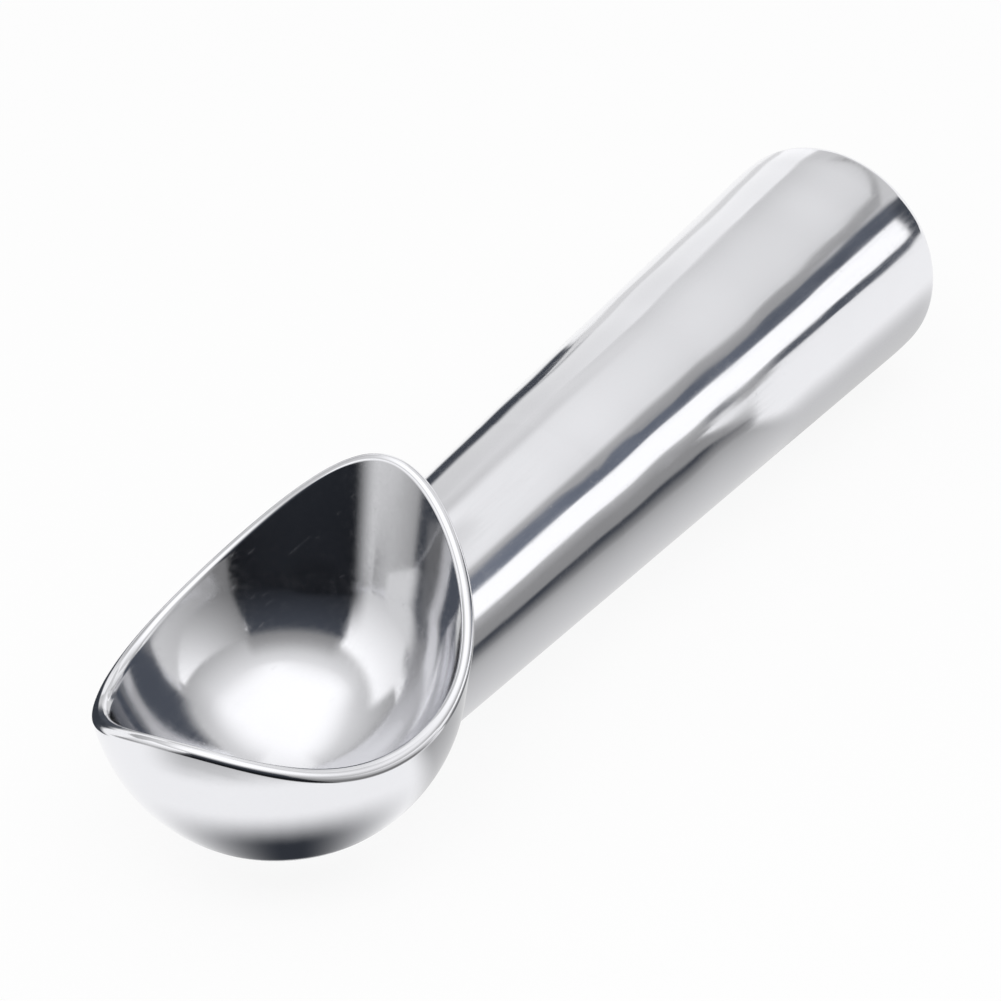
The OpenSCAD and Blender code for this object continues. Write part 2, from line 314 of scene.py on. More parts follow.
def handle_patches(turn, ball):
    """Fillet, the handle's cone, its roll-over and the butt's rounded edge."""
    to_bowl = -cup_normal(ball)
    cone = about_handle(-math.sin(HANDLE_ANGLE), math.cos(HANDLE_ANGLE), turn)
    angle = np.arccos(np.clip(np.sum(-cone * to_bowl, -1), -1, 1))[None, :, None]
    share = shares(FILLET_RINGS)[..., None]
    ray = (to_bowl * np.sin(angle * (1 - share)) - cone * np.sin(angle * share)) / np.sin(angle)
    fillet = (ball + NECK_FILLET * ray, -ray)

    handle_edge = ball - NECK_FILLET * cone
    share = shares(HANDLE_RINGS)
    x = handle_edge[:, 0] * (1 - share) + EASE_X * share
    points = on_handle(x, turn, handle_r(x))
    points[0] = handle_edge
    straight = (points, np.broadcast_to(cone, points.shape))

    share = shares(EASE_RINGS)
    x = EASE_X + EASE_LEN * share
    points = on_handle(x, turn, handle_r(x) - EASE_DEPTH * share**2)
    tip = np.arctan(2 * EASE_DEPTH * share / EASE_LEN - HANDLE_SLOPE)
    eased = (points, about_handle(np.sin(tip), np.cos(tip), turn))

    arc = np.linspace(EASE_ANGLE, RIGHT_ANGLE, BUTT_RINGS)[:, None]
    points = on_handle(ROUND_X + BUTT_ROUND * np.sin(arc), turn, EDGE_RAD + BUTT_ROUND * np.cos(arc))
    rounded = (points, about_handle(np.sin(arc), np.cos(arc), turn))
    return [fillet, straight, eased, rounded]


def bore_patches(turn):
    """End face, chamfer, plug's bore and its shoulder, chamber and the web that closes it."""

    def lathe(first, last, normal, count):
        share = shares(count)[..., None]
        (x0, r0), (x1, r1) = first, last
        points = on_handle(x0, turn, r0) * (1 - share) + on_handle(x1, turn, r1) * share
        return points, np.broadcast_to(about_handle(*normal, turn), points.shape)

    def to_web(radius, shape):
        ones = np.ones(shape)
        skin = CHAMBER_WEB - BOWL_WALL
        return halve(
            0 * ones, 2 * BOWL_R * ones, lambda x: cup_gap(on_handle(x, turn, radius(x))) > skin
        )

    mouth = (HANDLE_LEN, SEAT_R + BORE_CHAMFER)
    bore_start, bore_end = (HANDLE_LEN - BORE_CHAMFER, SEAT_R), (SHOULDER_X, SEAT_R)
    slant = math.sqrt(0.5)
    lathed = [
        lathe((HANDLE_LEN, EDGE_RAD), mouth, (1, 0), FACE_RINGS),
        lathe(mouth, bore_start, (slant, -slant), CHAMFER_RINGS),
        lathe(bore_start, bore_end, (0, -1), BORE_RINGS),
        lathe(bore_end, (SHOULDER_X, chamber_r(SHOULDER_X)), (1, 0), SHOULDER_RINGS),
    ]

    web_x = to_web(chamber_r, turn.shape)
    share = shares(CHAMBER_RINGS)
    x = SHOULDER_X * (1 - share) + web_x * share
    points = on_handle(x, turn, chamber_r(x))
    inward = about_handle(math.sin(HANDLE_ANGLE), -math.cos(HANDLE_ANGLE), turn)
    chamber = (points, np.broadcast_to(inward, points.shape))

    reach = chamber_r(web_x) * np.linspace(1, 0, WEB_RINGS)[:, None]
    points = on_handle(to_web(lambda x: reach, reach.shape), turn, reach)
    points[0] = chamber[0][-1]
    web = (points, cup_normal(points))
    return [*lathed, chamber, web]


def casting_patches():
    """The casting's surface as stretches of rings, each with its points and its normals."""
    rim_turn, turn = casting_columns()
    rim = rim_edges(rim_turn)
    ball = rolling_ball(turn)
    bowl_edge = ball - NECK_FILLET * cup_normal(ball)
    return [
        inside_patch(rim.inner_top),
        rim_patch(rim),
        outside_patch(rim.outer_top, bowl_edge),
        *handle_patches(turn, ball),
        *bore_patches(turn),
    ]


# The handle's frame turned to rest on the table
REST = np.array(
    [
        [math.cos(REST_TILT), 0, -math.sin(REST_TILT)],
        [0, 1, 0],
        [math.sin(REST_TILT), 0, math.cos(REST_TILT)],
    ]
)


def linked(name, data):
    """New object of the scene."""
    obj = bpy.data.objects.new(name, data)
    bpy.context.scene.collection.objects.link(obj)
    return obj


def casting_object(name, shift):
    """One closed mesh of all stretches, with exact normals, and a point at each end of the rings."""
    patches = casting_patches()
    points = np.concatenate([p if i == 0 else p[1:] for i, (p, _) in enumerate(patches)])
    rings = len(points)
    verts = np.concatenate([points[0][:1], points[1:-1].reshape(-1, 3), points[-1][:1]])
    last = len(verts) - 1
    verts = (verts @ REST.T) * MM + shift

    def index(r, k):
        if r == 0:
            return 0
        return last if r == rings - 1 else 1 + (r - 1) * COLUMNS + k % COLUMNS

    faces, normals = [], []
    ring = 0
    for p, n in patches:
        n = n @ REST.T
        for r in range(len(p) - 1):
            for k in range(COLUMNS):
                corners = [(r, k), (r + 1, k), (r + 1, k + 1), (r, k + 1)]
                if ring + r == 0:
                    corners.pop(3)
                elif ring + r + 1 == rings - 1:
                    corners.pop(2)
                faces.append([index(ring + a, b) for a, b in corners])
                normals.extend(n[a, b % COLUMNS] for a, b in corners)
        ring += len(p) - 1
    mesh = bpy.data.meshes.new(name)
    mesh.from_pydata(verts.tolist(), [], faces)
    mesh.polygons.foreach_set("use_smooth", [True] * len(mesh.polygons))
    mesh.update()
    mesh.normals_split_custom_set(normals)
    return linked(name, mesh)


# Places in the part's frame, in metres: the bowl's centre, one bowl radius above the table and as far from
# the casting's rear as its outline reaches, and the middle of the butt's end face
_, casting_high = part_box("scoop_casting")
rear_x = ROUND_X * math.cos(REST_TILT) - CORNER_Z * math.sin(REST_TILT) + BUTT_ROUND
bowl_centre = np.array([casting_high.x - rear_x * MM, 0.0, BOWL_R * MM])
butt_centre = bowl_centre + REST @ np.array([HANDLE_LEN, 0, -HANDLE_DROP]) * MM


# Materials
def nodes_of(name):
    material = bpy.data.materials.new(name)
    material.use_nodes = True
    tree = material.node_tree
    return material, tree, tree.nodes["Principled BSDF"]


def add(tree, kind, inputs=None, **settings):
    """New node, with its settings, and its inputs linked or set."""
    node = tree.nodes.new(kind)
    for key, value in settings.items():
        setattr(node, key, value)
    for key, value in (inputs or {}).items():
        if isinstance(value, bpy.types.NodeSocket):
            tree.links.new(value, node.inputs[key])
        else:
            node.inputs[key].default_value = value
    return node


def place(tree, scale=(1, 1, 1), turn=(0, 0, 0)):
    coordinates = add(tree, "ShaderNodeTexCoord")
    return add(
        tree,
        "ShaderNodeMapping",
        {"Vector": coordinates.outputs["Object"], "Scale": scale, "Rotation": turn},
    ).outputs["Vector"]


def noise(tree, vector, scale, detail=3.0, rough=0.5):
    return add(
        tree,
        "ShaderNodeTexNoise",
        {"Vector": vector, "Scale": scale, "Detail": detail, "Roughness": rough},
    ).outputs["Fac"]


def span(tree, value, low, high, from_low=0.0, from_high=1.0):
    """A value's range moved to another, and held at its ends."""
    return add(
        tree,
        "ShaderNodeMapRange",
        {"Value": value, "From Min": from_low, "From Max": from_high, "To Min": low, "To Max": high},
    ).outputs["Result"]


def maths(tree, kind, a, b=0.0):
    return add(tree, "ShaderNodeMath", {0: a, 1: b}, operation=kind).outputs[0]


def vectors(tree, kind, a, b=(0, 0, 0)):
    return add(tree, "ShaderNodeVectorMath", {0: a, 1: b}, operation=kind).outputs


def bump(tree, height, distance, strength=1.0, under=None):
    inputs = {"Height": height, "Distance": distance, "Strength": strength}
    if under is not None:
        inputs["Normal"] = under
    return add(tree, "ShaderNodeBump", inputs).outputs["Normal"]


def tint(tree, factor, dark, light):
    ramp = add(tree, "ShaderNodeValToRGB", {"Fac": factor})
    ramp.color_ramp.elements[0].color = (*dark, 1)
    ramp.color_ramp.elements[1].color = (*light, 1)
    return ramp.outputs["Color"]


# Polished casting. Noise scales are per metre, and streaks and scratches are noise that is stretched along
# one direction. Pairs are the ends of a range, heights are in metres.
SCUFF_SCALE, CLOUD_SCALE, WAVE_SCALE = 500, 55, 38
STREAK_SCALE = (60, 1600, 1600)
SCRATCH_SCALE, SCRATCH_TURN = (110, 2600, 2600), (0.4, 0.5, 0.9)
WORN_EDGES, SCUFF_PATCHES, SCRATCH_CUTS, NOISE_MIDDLE = (0.51, 0.58), (0.4, 0.6), (0.66, 0.74), (0.3, 0.7)
SCUFF_SHARES, SCUFF_GAIN = (0.2, 1.0), 0.25
CASTING_DARK, CASTING_LIGHT = (0.82, 0.822, 0.85), (0.88, 0.882, 0.91)
CLOUD_ROUGH, STREAK_ROUGH, SCUFF_ROUGH, SCRATCH_ROUGH = (0.07, 0.13), (-0.02, 0.03), 0.08, 0.1
WAVE_SHARES, WAVE_REACH = (0.07, 1.0), (-0.03, 0.0)
WAVE_HEIGHT, STREAK_HEIGHT, SCRATCH_HEIGHT = 0.00065, 0.0000003, 0.0000004


def polished_casting():
    material, tree, shader = nodes_of("polished_casting")
    plain = place(tree)
    shader.inputs["Metallic"].default_value = 1.0
    # Wear: edges scuffed in patches, and sparse scratches across the length
    geometry = add(tree, "ShaderNodeNewGeometry")
    edge = span(tree, geometry.outputs["Pointiness"], 0.0, 1.0, *WORN_EDGES)
    patches = span(tree, noise(tree, plain, SCUFF_SCALE, detail=4), *SCUFF_SHARES, *SCUFF_PATCHES)
    scuffed = maths(tree, "MULTIPLY", edge, patches)
    askew = add(
        tree,
        "ShaderNodeMapping",
        {"Vector": place(tree, turn=SCRATCH_TURN), "Scale": SCRATCH_SCALE},
    ).outputs["Vector"]
    scratched = span(tree, noise(tree, askew, scale=1.0, detail=2), 0.0, 1.0, *SCRATCH_CUTS)
    # Polish: cloudy, with fine streaks along the length
    cloud = noise(tree, plain, CLOUD_SCALE, detail=4)
    streak = noise(tree, place(tree, STREAK_SCALE), scale=1.0, detail=2)
    brightness = maths(tree, "ADD", cloud, maths(tree, "MULTIPLY", scuffed, SCUFF_GAIN))
    colour = tint(tree, brightness, CASTING_DARK, CASTING_LIGHT)
    tree.links.new(colour, shader.inputs["Base Color"])
    polish = maths(
        tree,
        "ADD",
        span(tree, cloud, *CLOUD_ROUGH, *NOISE_MIDDLE),
        span(tree, streak, *STREAK_ROUGH, *NOISE_MIDDLE),
    )
    worn = maths(
        tree,
        "ADD",
        maths(tree, "MULTIPLY", scuffed, SCUFF_ROUGH),
        maths(tree, "MULTIPLY", scratched, SCRATCH_ROUGH),
    )
    tree.links.new(maths(tree, "ADD", polish, worn), shader.inputs["Roughness"])
    # Slow waves, stronger on the handle, under the streaks and scratches
    from_lip = add(tree, "ShaderNodeSeparateXYZ", {0: plain}).outputs["X"]
    wave_share = span(tree, from_lip, *WAVE_SHARES, *WAVE_REACH)
    swell = maths(tree, "MULTIPLY", noise(tree, plain, WAVE_SCALE, detail=1), wave_share)
    waves = bump(tree, swell, WAVE_HEIGHT)
    fine = bump(tree, streak, STREAK_HEIGHT, under=waves)
    cut = bump(tree, maths(tree, "SUBTRACT", 1.0, scratched), SCRATCH_HEIGHT, under=fine)
    tree.links.new(cut, shader.inputs["Normal"])
    return material


# Turned metal: rings about the middle of the butt, and a disc's rim rubbed smoother
SHADE_SCALE, WOBBLE_SCALE, GRIT_SCALE, RUB_SCALE = 120, 300, 900, 500
GROOVE_PITCH, GROOVE_WOBBLE, GROOVE_HEIGHT, GROOVE_STRENGTH = 0.0005, 2.5, 0.000012, 0.6
GRITTY, RUBBED_FROM, RUBBED_GAIN = (-1, 2), (0.0125, 0.0143), 0.12


def turned_metal(name, dark, light, low_rough, high_rough):
    material, tree, shader = nodes_of(name)
    shader.inputs["Metallic"].default_value = 1.0
    plain = place(tree)
    shade = tint(tree, noise(tree, plain, SHADE_SCALE, detail=4), dark, light)
    tree.links.new(shade, shader.inputs["Base Color"])
    offset = vectors(tree, "ADD", plain, tuple(-butt_centre))[0]
    turned = add(
        tree, "ShaderNodeMapping", {"Vector": offset, "Rotation": (0, REST_TILT, 0)}
    ).outputs["Vector"]
    flat = vectors(tree, "MULTIPLY", turned, (0, 1, 1))[0]
    distance = vectors(tree, "LENGTH", flat)["Value"]
    rings = maths(tree, "MULTIPLY", distance, 2 * math.pi / GROOVE_PITCH)
    wobble = maths(tree, "MULTIPLY", noise(tree, plain, WOBBLE_SCALE, detail=2), GROOVE_WOBBLE)
    grooves = maths(tree, "SINE", maths(tree, "ADD", rings, wobble))
    gritty = maths(tree, "ADD", grooves, noise(tree, plain, GRIT_SCALE, detail=3))
    rough = span(tree, gritty, low_rough, high_rough, *GRITTY)
    rim = span(tree, distance, 0.0, RUBBED_GAIN, *RUBBED_FROM)
    rubbed = maths(tree, "MULTIPLY", rim, noise(tree, plain, RUB_SCALE, detail=4))
    tree.links.new(maths(tree, "SUBTRACT", rough, rubbed), shader.inputs["Roughness"])
    tree.links.new(bump(tree, grooves, GROOVE_HEIGHT, GROOVE_STRENGTH), shader.inputs["Normal"])
    return material


RUBBER_GRAIN, RUBBER_ROUGH = 2500, (0.55, 0.8)
RUBBER_DARK, RUBBER_LIGHT = (0.012, 0.012, 0.013), (0.04, 0.04, 0.043)
RUBBER_HEIGHT, RUBBER_STRENGTH = 0.00003, 0.5


def seal_rubber():
    material, tree, shader = nodes_of("seal_rubber")
    grain = noise(tree, place(tree), RUBBER_GRAIN, detail=5, rough=0.6)
    tree.links.new(tint(tree, grain, RUBBER_DARK, RUBBER_LIGHT), shader.inputs["Base Color"])
    tree.links.new(span(tree, grain, *RUBBER_ROUGH), shader.inputs["Roughness"])
    tree.links.new(bump(tree, grain, RUBBER_HEIGHT, RUBBER_STRENGTH), shader.inputs["Normal"])
    return material


FLUID_SWIRL, FLUID_ROUGH = 40, (0.02, 0.08)
FLUID_DARK, FLUID_LIGHT = (0.66, 0.80, 0.88), (0.80, 0.90, 0.94)
FLUID_HEIGHT, FLUID_STRENGTH = 0.0002, 0.3
FLUID_CLEAR, FLUID_IOR = 0.85, 1.38


def clear_fluid():
    material, tree, shader = nodes_of("heat_fluid")
    swirl = noise(tree, place(tree), FLUID_SWIRL, detail=3)
    tree.links.new(tint(tree, swirl, FLUID_DARK, FLUID_LIGHT), shader.inputs["Base Color"])
    tree.links.new(span(tree, swirl, *FLUID_ROUGH), shader.inputs["Roughness"])
    tree.links.new(bump(tree, swirl, FLUID_HEIGHT, FLUID_STRENGTH), shader.inputs["Normal"])
    shader.inputs["Transmission Weight"].default_value = FLUID_CLEAR
    shader.inputs["IOR"].default_value = FLUID_IOR
    return material


# Casting: a smooth piece that stands for the faceted solid
body = casting_object("casting_body", bowl_centre)
body.data.materials.append(polished_casting())
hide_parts("scoop_casting")
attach(body, "root")

# The other solids keep their shapes. Turned metal: darkest and lightest tint, lowest and highest roughness
PLUG_LOOK = ((0.52, 0.53, 0.55), (0.66, 0.67, 0.69), 0.28, 0.42)
CAP_LOOK = ((0.70, 0.71, 0.72), (0.82, 0.83, 0.84), 0.22, 0.38)
for node, material in (
    ("heat_transfer_fluid", clear_fluid()),
    ("sealing_plug", turned_metal("turned_plug", *PLUG_LOOK)),
    ("plug_o_ring", seal_rubber()),
    ("end_cap", turned_metal("turned_cap", *CAP_LOOK)),
):
    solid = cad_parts[node]
    if not solid.material_slots:
        solid.data.materials.append(material)
    for holder in solid.material_slots:
        holder.material = material


# Studio. The world is white to the camera and to reflections, and dimmer as a light. The floor is pale, and
# white to the camera with some of the shadow kept
WHITE, WORLD_LIGHT = 1.0, 0.70
FLOOR_HALF, FLOOR_GRAIN, FLOOR_ROUGH, FLOOR_WHITE = 6.0, 30, 0.9, 0.88
FLOOR_DARK, FLOOR_LIGHT = (0.90, 0.90, 0.90), (0.93, 0.93, 0.93)


def background_share(tree):
    """1 for rays from the camera, off metal or through glass, 0 for those that light the floor."""
    rays = add(tree, "ShaderNodeLightPath")
    share = maths(tree, "MAXIMUM", rays.outputs["Is Camera Ray"], rays.outputs["Is Glossy Ray"])
    return maths(tree, "MAXIMUM", share, rays.outputs["Is Transmission Ray"])


def make_world():
    world = bpy.data.worlds.new("studio")
    bpy.context.scene.world = world
    world.use_nodes = True
    tree = world.node_tree
    sky = tree.nodes["Background"]
    sky.inputs["Color"].default_value = (1, 1, 1, 1)
    strength = span(tree, background_share(tree), WORLD_LIGHT, WHITE)
    tree.links.new(strength, sky.inputs["Strength"])


def make_floor():
    half = FLOOR_HALF
    mesh = bpy.data.meshes.new("floor")
    corners = [(-half, -half, 0), (half, -half, 0), (half, half, 0), (-half, half, 0)]
    mesh.from_pydata(corners, [], [(0, 1, 2, 3)])
    floor = linked("floor", mesh)
    material, tree, shader = nodes_of("floor")
    grain = noise(tree, place(tree), FLOOR_GRAIN, detail=3)
    tree.links.new(tint(tree, grain, FLOOR_DARK, FLOOR_LIGHT), shader.inputs["Base Color"])
    shader.inputs["Roughness"].default_value = FLOOR_ROUGH
    shader.inputs["Specular IOR Level"].default_value = 0.0
    glow = add(tree, "ShaderNodeEmission", {"Color": (1, 1, 1, 1), "Strength": WHITE})
    keep = span(tree, background_share(tree), 0.0, FLOOR_WHITE)
    mix = add(tree, "ShaderNodeMixShader", {0: keep, 1: shader.outputs[0], 2: glow.outputs[0]})
    tree.links.new(mix.outputs[0], tree.nodes["Material Output"].inputs["Surface"])
    floor.data.materials.append(material)


def soft_lamp(name, at, aim, size, power):
    """Square lamp that only lights: neither the camera nor a reflection sees it."""
    data = bpy.data.lights.new(name, "AREA")
    data.shape = "RECTANGLE"
    data.size = data.size_y = size
    data.energy = power
    lamp = linked(name, data)
    lamp.location = at
    lamp.rotation_mode = "QUATERNION"
    lamp.rotation_quaternion = (Vector(aim) - Vector(at)).to_track_quat("-Z", "Y")
    lamp.visible_camera = False
    lamp.visible_glossy = False


make_world()
make_floor()
soft_lamp("key", at=(-0.62, -0.38, 1.02), aim=(-0.03, 0, 0.02), size=1.3, power=7.2)

# Cards, which only reflections see. Their places are in millimetres and degrees. Those close inside the
# bowl stand a little off its wall, and those under others a little less
CARD_CELLS = 16
CARD_OFF, CARD_UNDER = 0.6, 0.4
CARD_HEIGHT = 0.5
COOL, PLAIN = (0.80, 0.90, 1.12), (1.0, 1.0, 1.0)
CARD_STEPS = np.linspace(0, 1, CARD_CELLS + 1)
ACROSS, UPWARD = CARD_STEPS[None, :], CARD_STEPS[:, None]


def flat_card(*corners):
    """Grid of a card's points between its corners, in order round it."""
    a, b, c, d = (np.array(corner, float) for corner in corners)
    u, v = ACROSS[..., None], UPWARD[..., None]
    return (a * (1 - u) + b * u) * (1 - v) + (d * (1 - u) + c * u) * v


def ring_card(turns, rises, reach, lean=0.0, far_top=None):
    """Grid of a card that stands round the bowl, between two compass angles and two angles of height. Its
    far edge leans by an angle over its height, and can end at a height of its own."""
    low, high = rises
    top = high if far_top is None else high + (far_top - high) * ACROSS
    rise = np.radians(low + (top - low) * UPWARD) + 0 * ACROSS
    turn = np.radians(turns[0] + (turns[1] - turns[0]) * ACROSS + lean * ACROSS * UPWARD)
    ring = np.stack([reach * np.cos(turn), reach * np.sin(turn), reach * np.tan(rise)], -1)
    return ring + bowl_centre / MM


def floor_card(turns, reaches, height=CARD_HEIGHT):
    """Grid of a card on the floor, between two compass angles and two distances from the bowl."""
    turn = np.radians(np.linspace(*turns, CARD_CELLS + 1))[None, :]
    reach = np.linspace(*reaches, CARD_CELLS + 1)[:, None]
    x = bowl_centre[0] / MM + reach * np.cos(turn)
    return np.stack([x, reach * np.sin(turn), height + 0 * reach * turn], -1)


def inside_card(corners, below_rim=False, off=CARD_OFF):
    """Grid of a card close inside the bowl's wall, between corners of angle about the bowl and height, or
    with the height of its upper edge counted from the rim."""
    turn, up, _ = np.moveaxis(flat_card(*((*corner, 0) for corner in corners)), -1, 0)
    turn = np.radians(turn)
    if below_rim:
        up = up + to_cup(rim_at(turn))[..., 2] * UPWARD
    round_out = np.sqrt(np.maximum(0, INSIDE_R**2 - (up - FLOOR_RISE) ** 2))
    flared_out = (BOWL_R - BOWL_WALL) / math.cos(WALL_FLARE) + up * math.tan(WALL_FLARE)
    out = np.where(up < FLOOR_RISE - INSIDE_R * math.sin(WALL_FLARE), round_out, flared_out) - off
    places = from_cup(np.stack([out * np.cos(turn), out * np.sin(turn), up], -1))
    return places @ REST.T + bowl_centre / MM


def card_mesh(name, grid):
    """Mesh of a card's grid, with UV from its first to its far edge and from its low to its high one."""
    row = CARD_CELLS + 1
    faces = [
        (j * row + i, j * row + i + 1, (j + 1) * row + i + 1, (j + 1) * row + i)
        for j in range(CARD_CELLS)
        for i in range(CARD_CELLS)
    ]
    mesh = bpy.data.meshes.new(name)
    mesh.from_pydata((grid.reshape(-1, 3) * MM).tolist(), [], faces)
    uv = mesh.uv_layers.new(name="Card")
    for loop in mesh.loops:
        up, across = divmod(loop.vertex_index, row)
        uv.data[loop.index].uv = (CARD_STEPS[across], CARD_STEPS[up])
    return mesh


def card_material(name, level, soft, far, high, colour, sided, cover):
    material = bpy.data.materials.new(name)
    material.use_nodes = True
    tree = material.node_tree
    tree.nodes.remove(tree.nodes["Principled BSDF"])
    coordinates = add(tree, "ShaderNodeTexCoord")
    split = add(tree, "ShaderNodeSeparateXYZ", {0: coordinates.outputs["UV"]})
    across, up = split.outputs["X"], split.outputs["Y"]
    sides = (across, maths(tree, "SUBTRACT", 1.0, across), up, maths(tree, "SUBTRACT", 1.0, up))
    masks = [
        add(
            tree,
            "ShaderNodeMapRange",
            {"Value": side, "From Max": edge},
            interpolation_type="SMOOTHSTEP",
        ).outputs["Result"]
        for side, edge in zip(sides, soft)
        if edge
    ]
    if sided:
        masks.append(add(tree, "ShaderNodeNewGeometry").outputs["Backfacing"])
    if cover != 1.0:
        masks.append(cover)
    glow = add(tree, "ShaderNodeEmission", {"Color": (*colour, 1), "Strength": level})
    if far != 1.0 or high != 1.0:
        to_far, to_high = span(tree, across, level, level * far), span(tree, up, 1.0, high)
        tree.links.new(maths(tree, "MULTIPLY", to_far, to_high), glow.inputs["Strength"])
    surface = glow.outputs[0]
    if masks:
        mask = reduce(lambda a, b: maths(tree, "MULTIPLY", a, b), masks)
        clear = add(tree, "ShaderNodeBsdfTransparent").outputs[0]
        surface = add(tree, "ShaderNodeMixShader", {0: mask, 1: clear, 2: surface}).outputs[0]
    tree.links.new(surface, tree.nodes["Material Output"].inputs["Surface"])
    return material


def emission_card(
    name, grid, level, soft=(0, 0, 0, 0), far=1.0, high=1.0, colour=PLAIN, sided=False, cover=1.0
):
    """A card that only reflections see: its grey level, the softness of its first, far, low and high edges,
    and the shares to which the level changes towards the far and the high edge. A sided one is seen only
    from its back. The cover is the share of what lies behind that it hides."""
    card = linked(name, card_mesh(name, grid))
    card.data.materials.append(card_material(name, level, soft, far, high, colour, sided, cover))
    card.visible_camera = False
    card.visible_diffuse = False
    card.visible_shadow = False
    card.visible_volume_scatter = False


# Cards round the far end, which the handle reflects, and a painted shadow on the floor beside the handle,
# which it reflects too
for name, corners, look in (
    (
        "left_floor",
        ((-60, 80, 0.5), (112, 80, 0.5), (366, 320, 0.5), (100, 320, 0.5)),
        dict(level=0.07, soft=(0.1, 0.03, 0.3, 0), colour=COOL),
    ),
    (
        "left_wall",
        ((100, 320, 0), (366, 320, 0), (366, 320, 110), (100, 320, 110)),
        dict(level=0.07, soft=(0.1, 0.03, 0, 0.5), colour=COOL),
    ),
    (
        "left_far",
        ((235, 195, 0.4), (430, 265, 0.4), (480, 321, 75), (340, 321, 75)),
        dict(level=0.74, soft=(0, 0.1, 0.2, 0)),
    ),
    (
        "left_panel",
        ((200, 322, 60), (480, 322, 60), (650, 322, 400), (320, 322, 400)),
        dict(level=0.58, far=1.95),
    ),
    (
        "seam",
        ((200, 330, 345), (420, 330, 345), (400, 120, 345), (200, 120, 345)),
        dict(level=0.66, soft=(0, 0.5, 0.2, 0.4)),
    ),
    (
        "top_panel",
        ((225, 330, 346), (540, 330, 346), (560, -275, 346), (225, -275, 346)),
        dict(level=0.97, soft=(0.06, 0.1, 0.05, 0.1), far=0.65),
    ),
    (
        "top_end",
        ((388, 250, 262), (900, 250, 262), (900, -262, 262), (388, -262, 262)),
        dict(level=0.64, soft=(0.05, 0.3, 0, 0.08)),
    ),
    (
        "slate_flag",
        ((250, -320, 200), (520, -320, 205), (660, -320, 400), (350, -320, 400)),
        dict(level=0.22, soft=(0, 0, 0.08, 0.45), far=0.35, colour=COOL),
    ),
    (
        "strip",
        ((190, -322, 60), (540, -322, 60), (540, -322, 240), (190, -322, 240)),
        dict(level=1.17, soft=(0.05, 0.05, 0.1, 0)),
    ),
    (
        "strip_end",
        ((452, -321, 22), (900, -321, 22), (900, -321, 380), (490, -321, 380)),
        dict(level=0.07, soft=(0.03, 0.3, 0.03, 0.2), colour=COOL),
    ),
    (
        "low_near",
        ((200, -320, 0), (348, -320, 0), (348, -320, 74), (200, -320, 66)),
        dict(level=0.30, soft=(0, 0.03, 0, 0.2), high=1.7),
    ),
    (
        "low_far",
        ((342, -319, 20), (460, -319, 20), (460, -319, 76), (342, -319, 72)),
        dict(level=0.10, soft=(0.05, 0.05, 0.15, 0.15), colour=COOL),
    ),
    (
        "floor_grey",
        ((-40, -40, 0.5), (68, -40, 0.5), (326, -320, 0.5), (120, -320, 0.5)),
        dict(level=0.29, soft=(0.05, 0.03, 0, 0)),
    ),
    # Painted shadow: the handle's shadow on the floor, as a dark card, a grey ramp and a pale edge that
    # only reflections see
    (
        "painted_shadow_dark",
        ((-14, -72, 0.8), (92, -86, 0.8), (76, -40, 0.8), (-40, -28, 0.8)),
        dict(level=0.06, soft=(0.1, 0.05, 0.2, 0.7), colour=COOL),
    ),
    (
        "painted_shadow_ramp",
        ((-60, -52, 0.7), (74, -52, 0.7), (60, -3, 0.7), (-60, -3, 0.7)),
        dict(level=0.26, soft=(0.1, 0.06, 0.3, 0.1), high=3.0),
    ),
    (
        "painted_shadow_pale",
        ((66, -34, 0.6), (125, -40, 0.6), (125, -3, 0.6), (20, -3, 0.6)),
        dict(level=0.62, soft=(0.15, 0.3, 0.5, 0)),
    ),
):
    emission_card(name, flat_card(*corners), **look)
